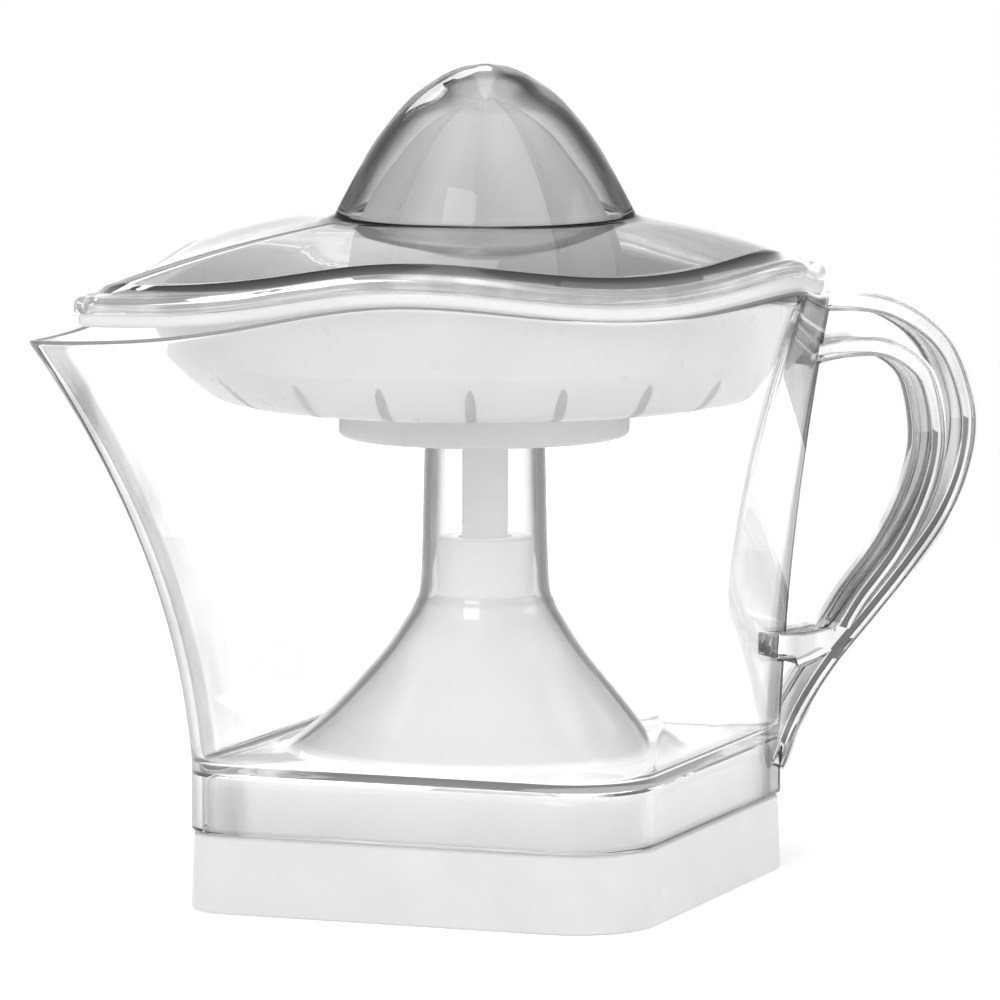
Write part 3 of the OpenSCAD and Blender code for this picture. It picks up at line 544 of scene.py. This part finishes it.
def housing():
    """The base and its bell as one shell: up the outside, over the hub and down the inside."""
    bell_out = shifted(CHIMNEY, CHIMNEY_WALL + BELL_GAP)
    bell_in = shifted(CHIMNEY, CHIMNEY_WALL + BELL_GAP + HOUSING_WALL)
    bell_out = [p for p in bell_out if p[1] < BELL_END_Z]
    bell_in = [p for p in bell_in if p[1] < BELL_END_Z - 2]
    rings = [ring(base_plan(0.5), 0.3), ring(base_plan(0.1), 0.6), ring(base_plan(0), 1.2)]
    rings += [ring(base_plan(0.35), BAND_H / 2), ring(base_plan(0.7), BAND_H - 1)]
    rings += [ring(base_plan(0.7 + 1 - x), z) for x, z in arc((0, BAND_H - 1), 1, 0, 90)][1:]
    rings += [shoulder(-0.8, BAND_H), shoulder(0, BAND_H + 0.8)]
    rings += [
        shoulder(PLATFORM_ROUND - x, z)
        for x, z in arc((0, PLATFORM_TOP - PLATFORM_ROUND), PLATFORM_ROUND, 0, 90, 8)]
    rings += lathe_rings(bell_out)
    rings += lathe_rings([(HUB_R, bell_out[-1][1] + 2), (HUB_R, HUB_TOP - 0.8)])
    rings += lathe_rings([(HUB_R - 0.25, HUB_TOP - 0.25), (HUB_R - 0.8, HUB_TOP)])
    seat_bottom, seat_top = BUSH_SEAT_Z
    rings += lathe_rings([(SHAFT_BORE_R, HUB_TOP), (SHAFT_BORE_R, seat_top)])
    rings += lathe_rings([(BUSH_SEAT_R, seat_top), (BUSH_SEAT_R, seat_bottom)])
    rings += lathe_rings(bell_in[::-1])
    rings += [room(ROOM_HALF, bell_in[0][1]), room(ROOM_HALF, 19)]
    rings += [room(COVER_SEAT_HALF, z) for z in (18, 0.3)]
    made = skin("motor_housing_shell", rings)
    combine(made, gland_hole(), "DIFFERENCE")
    # painted glow: the bell and hub light up from 30 mm, fully from 42 mm
    mark(made, "inside", lambda x, y, z: (z - 30) / 12)
    finish_piece(
        made, "base", ["motor_housing", "drive_tower"], MATERIALS["white_plastic"])


# ---------- jug and handle ----------

SKIRT_Z = BAND_H + REST_GAP
OUTER_STRAND = [
    (97, 161.6), (112.7, 160.8), (124.7, 157.7), (136.6, 150.2), (143.5, 140.3), (147.5, 126),
    (145.7, 111.8), (139.4, 97.9), (128.7, 84.3), (116.2, 70.7), (103.5, 57.2), (94, 43.6), (88, 30)]
INNER_STRAND = [
    (92, 61), (103.2, 65.6), (111.9, 77), (123.3, 90.5), (131.1, 104.3), (134.9, 118.3),
    (133, 132.5), (128.6, 139.8), (119, 144.7), (106.4, 145), (94, 142.6)]
STRUT = [(84, 60.6), (98, 60.6), (107, 62.5), (104, 67.4), (95, 66.2), (84, 66.8)]
FLOOR_GLOW = 0.34             # shares of the clear plastic's painted glow
RIM_GLOW = 0.7


def wall_ring(inset, share, drop=0.0):
    """A ring of the jug's wall, at a share of the way from the skirt to the wavy rim."""
    z = SKIRT_Z + (rim_height(AROUND) - SKIRT_Z) * share - drop
    return ring(jug_plan(z, inset), z)


def strand(points):
    """The outline of one of the handle's strands, from the points along its outer edge."""
    run = curve_through(points, 6)
    return np.vstack([run, shifted(run, -STRAND_T)[::-1]])


def corner_arc(x, y, z):
    """1 on the rounded spout and handle corners of the jug's wall, 0 elsewhere."""
    from_corner = np.degrees(np.arctan2(np.abs(y), np.abs(x)))
    half_arc = 9 - 0.042 * (z - FLOOR_Z)
    return (np.hypot(x, y) > BELL_FOOT_R) * np.clip(half_arc - from_corner, 0, 1)


def beyond_wall(x, y, z):
    """1 on the handle, 0 on the jug's wall and inside it."""
    return np.hypot(x, y) > reach(jug_plan(z, 0), np.degrees(np.arctan2(y, x))) + 0.3


def jug_curved(x, y, z):
    """The round walls: the chimney, the wall's corners and most of the handle."""
    on_wall = np.maximum(corner_arc(x, y, z), 0.8 * beyond_wall(x, y, z))
    return np.where(np.hypot(x, y) < BELL_FOOT_R, (z - 70) / 15, on_wall)


def jug_painted_streaks(x, y, z):
    """Where grey streaks of painted shade go: on the handle, and less on the wall's corners."""
    return np.maximum(0.75 * corner_arc(x, y, z), beyond_wall(x, y, z))


def jug_painted_glow_lines(x, y, z):
    """Painted glowing lines, where the floor meets the wall and where the wall ends at the rim."""
    over_rim = z - rim_height(np.degrees(np.arctan2(y, x)))
    floor_line = np.minimum(FLOOR_GLOW * (2.5 - np.abs(z - FLOOR_Z + 0.5)), FLOOR_GLOW)
    rim_line = np.minimum(RIM_GLOW * (1.4 + over_rim), RIM_GLOW)
    return (np.hypot(x, y) > 50) * np.maximum(floor_line, rim_line)


def jug():
    """The jug with its chimney and handle. The rings go up the outside, down the inside to the floor,
    up the chimney, down inside it and out under the floor to the skirt."""
    half = JUG_WALL / 2
    rings = [ring(jug_plan(SKIRT_Z, 0.5), SKIRT_Z), ring(jug_plan(SKIRT_Z, 0), SKIRT_Z + 0.5)]
    rings += [wall_ring(0, share) for share in np.linspace(0.02, 0.97, 40)]
    rings += [wall_ring(half - x, 1, half - z) for x, z in arc((0, 0), half, 0, 180, 9)]
    floor_share = (FLOOR_Z + 4 - SKIRT_Z) / (RIM_Z - SKIRT_Z)
    rings += [wall_ring(JUG_WALL, share) for share in np.linspace(0.97, floor_share, 36)]
    rings += [
        ring(jug_plan(FLOOR_Z, JUG_WALL + 2 - x), z)
        for x, z in arc((0, FLOOR_Z + 2), 2, 0, -90, 5)]
    rings += lathe_rings(CHIMNEY[:-1])
    lip = CHIMNEY_WALL / 2
    rings += lathe_rings(arc((CHIMNEY_R - lip, CHIMNEY_TOP_Z - lip), lip, 0, 180, 7))
    rings += lathe_rings(shifted(CHIMNEY, CHIMNEY_WALL)[-2::-1])
    rings += [ring(jug_plan(FLOOR_Z, JUG_WALL + 1), FLOOR_Z - CHIMNEY_WALL)]
    rings += [ring(jug_plan(FLOOR_Z, JUG_WALL), FLOOR_Z - CHIMNEY_WALL - 1)]
    rings += [ring(jug_plan(SKIRT_Z, JUG_WALL), SKIRT_Z + 0.4)]
    rings += [ring(jug_plan(SKIRT_Z, JUG_WALL - 0.4), SKIRT_Z)]
    made = skin("jug_with_handle", rings)
    for points in (strand(OUTER_STRAND), strand(INNER_STRAND), np.array(STRUT)[::-1]):
        combine(made, prism("strand", points, HANDLE_W / 2, 1.2), "UNION")
    mark(made, "curved", jug_curved)
    # painted shade: grey streaks on the handle and, lighter, on the wall's corners
    mark(made, "strand", jug_painted_streaks)
    # painted glow: bright lines at the floor and along the rim
    mark(made, "inside", jug_painted_glow_lines)
    finish_piece(
        made, "jug_body", ["jug", "jug_chimney", "jug_handle"],
        MATERIALS["clear_plastic"], 40)


# ---------- strainer ----------

BOWL = [
    (136.2, 50, 50, 50), (136.8, 66, 66, 66.5), (137.7, 71, 71.8, 73), (139.2, 74, 76, 79),
    (142, 76.4, 80, 84.5), (145.5, 78.6, 84.3, 89.7), (150, 80.7, 89.2, 95.5)]
BOWL_TOP = (83.2, 94.7, 101)
FLANGE_PLAN = (88.3, 103.2, 4, 0, 0, 119, 6)
SLOT_Z = (134.8, 147)
SLOT_HALF = 1.45
SLOT_R = (62, 96)             # how far out a slot's cutter starts and ends


def bowl_plan(half, spout_end, handle_end, inset):
    """The bowl's outline, rounder the nearer its two ends are to half its width."""
    return (
        half - inset, handle_end - inset, max(10, 55 - 2.4 * (handle_end - half)) - inset, 0, 0,
        spout_end - inset, min(half - 8, max(10, 60 - (spout_end - half) * 0.5)) - inset)


def flange_ring(inset, lift):
    """A ring along the edge of the strainer's flange, lift over its underside."""
    a, handle, handle_r, side, side_r, spout, spout_r = FLANGE_PLAN
    plan = (
        a - inset, handle - inset, handle_r - inset / 2, side, side_r,
        spout - inset, spout_r - inset / 2)
    return ring(plan, flange_bottom(AROUND) + lift)


def bowl_rim(grown, inset, lift):
    """A ring round the top of the bowl, grown outwards, lift over the flange's underside."""
    plan = bowl_plan(*(v + grown for v in BOWL_TOP), inset)
    return ring(plan, flange_bottom(AROUND) + lift)


def slot_cutters():
    """Upright slots with a pointed top, all in one mesh, cut outwards through the bowl's low corner."""
    low, high = SLOT_Z
    side = [(SLOT_HALF, low), (SLOT_HALF, high - 4)]
    side += [(SLOT_HALF * 0.75, high - 1.8), (SLOT_HALF * 0.3, high - 0.4)]
    outline = side + [(0, high)] + [(-x, z) for x, z in side[::-1]]
    n = len(outline)
    points, faces = [], []
    for k in range(SLOT_COUNT):
        a = math.radians(360 / SLOT_COUNT * (k + 0.5))
        out, across = np.array([math.cos(a), math.sin(a)]), np.array([-math.sin(a), math.cos(a)])
        first = len(points)
        for r in SLOT_R:
            points += [(*(out * r + across * x), z) for x, z in outline]
        for i in range(n):
            j = (i + 1) % n
            faces.append([first + i, first + n + i, first + n + j, first + j])
        faces += [[first + i for i in range(n)], [first + n + i for i in range(n)][::-1]]
    return solid("slots", points, faces)


def strainer():
    """The bowl with its flange and its middle tube, and the slots cut out."""
    levels = curve_through(BOWL, 4)
    rings = lathe_rings([(15.5, 135.2), (41, 135.4)])
    rings += [ring(bowl_plan(*s[1:], 0), s[0]) for s in levels]
    rings += [bowl_rim(0, 0, -1.2), bowl_rim(0.6, 0, -0.2)]
    rings += [bowl_rim(1.4, 0, 0), flange_ring(0.6, 0)]
    rings += [flange_ring(1 - x, 1 + z) for x, z in arc((0, 0), 1, -60, 0, 4)]
    rings += [flange_ring(1 - x, FLANGE_T - 1 + z) for x, z in arc((0, 0), 1, 0, 90, 5)]
    rings += [bowl_rim(1, BOWL_WALL, FLANGE_T), bowl_rim(0, BOWL_WALL, FLANGE_T - 0.8)]
    rings += [ring(bowl_plan(*s[1:], BOWL_WALL), s[0] + BOWL_WALL * 0.7) for s in levels[::-1]]
    rings += lathe_rings([(41, 137.4), (15, 137.2), (13.4, 138.2), (13, 139.8)])
    rings += lathe_rings([(12.6, 151.4), (12, 152), (11.4, 152), (11, 151.6), (11, 135.2)])
    made = skin("strainer_bowl", rings)
    combine(made, slot_cutters(), "DIFFERENCE")
    # painted glow on the bowl's outside, beyond 70 mm from the axis
    mark(made, "inside", lambda x, y, z: 0.3 * (np.hypot(x, y) > 70))
    finish_piece(made, "strainer_body", ["strainer"], MATERIALS["milky_plastic"], 30)


def collar():
    """The ring under the bowl that stands on the chimney."""
    profile = [(37.6, 135.1), (37.6, 129.7), (37.1, 129.2), (19, 129.2), (18.7, 128), (19, 126.8)]
    profile += [(38.6, 126.8)]
    profile += arc((38.6, 128.2), 1.4, -60, 0, 5) + [(40, 134.7), (39.6, 135.1)]
    finish_piece(
        skin("strainer_collar_ring", lathe_rings(profile)), "strainer_body", ["strainer_collar"],
        MATERIALS["milky_plastic"], 30)


# ---------- reamer ----------

REAMER_OUTER = [
    (141.2, 39.6, 3.4), (152, 40, 3.8), (166, 39.6, 4.4), (177, 37.6, 4.8), (188, 33.4, 4.8),
    (199, 27, 4.4), (208, 19.6, 3.4), (215.5, 10.8, 1.8), (219, 4.6, 0.5)]
REAMER_INNER = [(141.2, 34.4), (152, 34.2), (168, 32.8), (184, 27.6), (200, 17.6)]
RIB_COLUMNS = np.arange(0, 360, 1.5)
SOCKET_R = 4.14               # out to the corners of the hexagon


def rib_ring(z, r, depth):
    """A ring with ribs at full radius and rounded flutes between them."""
    across = np.abs(np.sin(np.radians((RIB_COLUMNS - RIB_PHASE) * RIB_COUNT / 2)))
    reach_here = r - depth * across ** 0.85
    p = np.radians(RIB_COLUMNS)
    return np.column_stack([reach_here * np.cos(p), reach_here * np.sin(p), np.full(len(p), z)])


def reamer():
    """The ribbed cone, hollow underneath, with a tube in its middle that has a hexagonal socket."""
    hexagon = SOCKET_R * math.cos(math.radians(30)) / np.cos(np.radians(RIB_COLUMNS % 60 - 30))
    p = np.radians(RIB_COLUMNS)
    def socket(z):
        return np.column_stack([hexagon * np.cos(p), hexagon * np.sin(p), np.full(len(p), z)])
    rings = [socket(188.6), socket(165.8)]
    rings += lathe_rings([(6.25, 165.8), (6.25, 128.1), (10, 128.1), (10, 203)], RIB_COLUMNS)
    rings += lathe_rings([(r, z) for z, r in curve_through(REAMER_INNER, 4)[::-1]], RIB_COLUMNS)
    outer = curve_through(REAMER_OUTER, 6)
    rings += [rib_ring(141.2, 39.0, 3.4)] + [rib_ring(z, r, depth) for z, r, depth in outer[1:]]
    rings += [rib_ring(219.8, 2.2, 0.1), rib_ring(REAMER_TIP_Z, 0.5, 0)]
    finish_piece(
        skin("reamer_cone", rings, closed=False), "reamer_body", ["reamer"],
        MATERIALS["milky_plastic"], 60)


def stem():
    """The tube under the reamer that the shaft turns in, with the disc that carries the reamer."""
    profile = [(4.1, 97.8), (5.8, 97.8), (6.15, 98.2), (6.15, 126), (9.1, 126), (9.5, 126.4)]
    profile += [(9.5, 127.6), (9.1, 128), (6.15, 128), (6.15, 164.6), (5.7, 165), (4.1, 165)]
    made = skin("reamer_stem_tube", lathe_rings(profile, np.arange(0, 360, 5)))
    # painted glow over the whole stem
    mark(made, "inside", lambda x, y, z: np.ones_like(z))
    finish_piece(
        made, "reamer_carrier", ["reamer_stem"], MATERIALS["milky_plastic"], 30)


# ---------- lid ----------

DOME_OUTER = [
    (41.4, DOME_BASE_Z), (35.2, 199), (29.5, 208.5), (21, 218.7), (13.5, 224.2), (6.6, 227.4)]
DOME_INNER = [(38.6, DOME_BASE_Z - 2), (32.6, 198), (26.8, 207.2), (18.9, 216.2), (9.6, 222.4)]


def lid_lip(x, y, z):
    """1 on the lid's lip, 0 further in than a tenth of the way to the axis."""
    share = np.hypot(x, y) / reach(lid_plan(0), np.degrees(np.arctan2(y, x)))
    return np.clip((share - 0.9) / 0.05, 0, 1)


def lid():
    """The lid with its wavy lip, sloping roof and dome: down the inside and up the outside."""
    edge = flange_top(AROUND) + REST_GAP
    def lip(inset, lift):
        return ring(lid_plan(inset), edge + lift)
    def roof(share, inset, lift, dome_r, dome_z):
        r = reach(lid_plan(inset), AROUND) * (1 - share) + dome_r * share
        z = (edge + lift) * (1 - share) + dome_z * share + 1.6 * np.sin(np.pi * share)
        p = np.radians(AROUND)
        return np.column_stack([r * np.cos(p), r * np.sin(p), z])
    inner_dome = curve_through(DOME_INNER, 5)
    outer_dome = curve_through(DOME_OUTER + [(0.8, DOME_TOP_Z - 0.01)], 6)
    rings = lathe_rings([(0.8, 225.2), (5, 224.6)]) + lathe_rings(inner_dome[::-1])
    rings += [
        roof(share, 4, LID_LIP_H + 2.4 - LID_T, DOME_INNER[0][0], DOME_BASE_Z - 2.2)
        for share in np.linspace(0.94, 0.02, 14)]
    rings += [lip(LID_T, LID_LIP_H - 0.6), lip(LID_T, 0.3), lip(LID_T - 0.3, 0), lip(0.4, 0)]
    rings += [lip(0, 0.4), lip(0, LID_LIP_H - 1), lip(0.2, LID_LIP_H - 0.2), lip(0.8, LID_LIP_H + 0.6)]
    rings += [lip(1.6, LID_LIP_H + 1.2), lip(2.4, LID_LIP_H + 1.5), lip(3.2, LID_LIP_H + 1.5)]
    rings += [lip(3.9, LID_LIP_H + 1.2), lip(4.6, LID_LIP_H + 1.2)]
    rings += [
        roof(share, 3, LID_LIP_H + 2.2, DOME_OUTER[0][0] - 0.6 * share, DOME_BASE_Z - 0.4)
        for share in np.linspace(0.08, 0.95, 18)]
    rings += lathe_rings(outer_dome)
    made = skin("lid_with_dome", rings, closed=False)
    mark(made, "curved", lambda x, y, z: (z - DOME_BASE_Z + 3) / 6)
    # painted shade: an even grey on the roof and lip, below the dome
    mark(made, "painted_shade", lambda x, y, z: DOME_BASE_Z - 1 - z)
    # painted shade: grey streaks on the lip
    mark(made, "strand", lambda x, y, z: 0.7 * lid_lip(x, y, z))
    # painted glow on the lip
    mark(made, "inside", lambda x, y, z: 0.3 * lid_lip(x, y, z))
    finish_piece(made, "lid_body", ["lid"], MATERIALS["smoky_plastic"], 50)


# ---------- CAD pieces that stay ----------

def finish_cad_nodes():
    """Every CAD node that still shows gets the material of its slot."""
    slots = {part["node"]: part["material_slot"] for part in frame["record"]["subparts"]}
    for name, node in frame["nodes"].items():
        if node.hide_render:
            continue
        node.data.materials.clear()
        node.data.materials.append(MATERIALS[slots[name]])


# ---------- floor, light and camera ----------

VIEW_AZIMUTH = 65.7           # the camera looks this way, in degrees from +X
FLOOR_R = 800
TENT_STRENGTH = 2.1


def paper_floor():
    """A round of white paper under the object."""
    around = np.radians(np.arange(0, 360, 5))
    outline = [(FLOOR_R * math.cos(a), FLOOR_R * math.sin(a), 0) for a in around]
    floor = solid("floor", outline, [list(range(len(around)))])
    paper = Shader("white_paper")
    paper.colour(paper.ramp(paper.noise(3), (0.3, grey(0.95)), (0.7, grey(0.97))))
    paper.set(Roughness=0.9, Specular_IOR_Level=0.2, Emission_Color=(1, 1, 1, 1), Emission_Strength=0.3)
    floor.data.materials.append(paper.material)


def maths(s, operation, first, second=0.0):
    """A maths node in the tree of s. Each input is a number or a socket."""
    node = s.add("ShaderNodeMath", operation=operation)
    for socket, value in zip(node.inputs, (first, second)):
        if isinstance(value, float):
            socket.default_value = value
        else:
            s.link(value, socket)
    return node.outputs["Value"]


def tent_light(s):
    """The tent's brightness: by height, and dark where a flag stands."""
    split = s.add("ShaderNodeSeparateXYZ")
    s.link(s.add("ShaderNodeTexCoord").outputs["Generated"], split.inputs["Vector"])
    height = s.ramp(
        split.outputs["Z"], (0.0, grey(0.66)), (0.1, grey(0.62)), (0.2, grey(0.36)), (0.7, grey(0.3)),
        (0.9, grey(0.75)), (1.0, grey(1.0)))
    azimuth = maths(s, "ARCTAN2", split.outputs["Y"], split.outputs["X"])
    turn = maths(s, "SUBTRACT", azimuth, math.radians(VIEW_AZIMUTH))
    towards_back = s.spread_value(maths(s, "COSINE", turn), 0, 1, -1, 1)
    flags = s.ramp(
        towards_back, (0.0, grey(1.0)), (0.7, grey(1.0)), (0.8, grey(0.22)), (0.982, grey(0.22)),
        (0.994, grey(1.0)))
    tent = s.add("ShaderNodeVectorMath", operation="MULTIPLY")
    s.link(height, tent.inputs[0])
    s.link(flags, tent.inputs[1])
    return tent.outputs["Vector"]


def light_tent():
    """Soft light from all round, with a dark flag on either side of the background, which draws the
    grey edges in clear plastic. The camera itself sees plain white behind the object."""
    world = bpy.data.worlds.new("studio")
    bpy.context.scene.world = world
    world.use_nodes = True
    s = Nodes(world.node_tree)
    lit = s.tree.nodes["Background"]
    lit.inputs["Strength"].default_value = TENT_STRENGTH
    s.link(tent_light(s), lit.inputs["Color"])
    white = s.add("ShaderNodeBackground", Color=(1, 1, 1, 1), Strength=1.0)
    mix = s.add("ShaderNodeMixShader")
    s.link(s.add("ShaderNodeLightPath").outputs["Is Camera Ray"], mix.inputs["Fac"])
    s.link(lit.outputs["Background"], mix.inputs[1])
    s.link(white.outputs["Background"], mix.inputs[2])
    s.link(mix.outputs["Shader"], s.tree.nodes["World Output"].inputs["Surface"])


def lamps():
    """Two softboxes in front, and one behind that lights the object but isn't mirrored in it."""
    softbox("key", (-1.5, -1.3, 1.5), 1.0, 11)
    softbox("fill", (1.7, -0.9, 0.8), 0.8, 3)
    softbox("rim", (0.5, 1.8, 1.3), 0.9, 4).visible_glossy = False


def softbox(name, place, size, power):
    """A square area light at place, turned towards the object."""
    light = bpy.data.lights.new(name, "AREA")
    light.size, light.energy = size, power
    lamp = bpy.data.objects.new(name, light)
    lamp.location = place
    lamp.rotation_euler = (Vector((0, 0, 0.1)) - Vector(place)).to_track_quat("-Z", "Y").to_euler()
    bpy.context.scene.collection.objects.link(lamp)
    return lamp


def camera():
    """A long lens, from the front on the spout's side and a little above."""
    lens = bpy.data.cameras.new("camera")
    lens.lens, lens.sensor_width = 288, 36
    seen_from = Vector((-0.8940, -1.9931, 0.3622))
    aim = Vector((0.00366, -0.00165, 0.1083))
    eye = bpy.data.objects.new("camera", lens)
    eye.location = seen_from
    eye.rotation_euler = (aim - seen_from).to_track_quat("-Z", "Y").to_euler()
    bpy.context.scene.collection.objects.link(eye)
    bpy.context.scene.camera = eye
    bpy.context.scene.view_settings.view_transform = "Standard"


housing()
jug()
strainer()
collar()
reamer()
stem()
lid()
finish_cad_nodes()
paper_floor()
light_tent()
lamps()
camera()
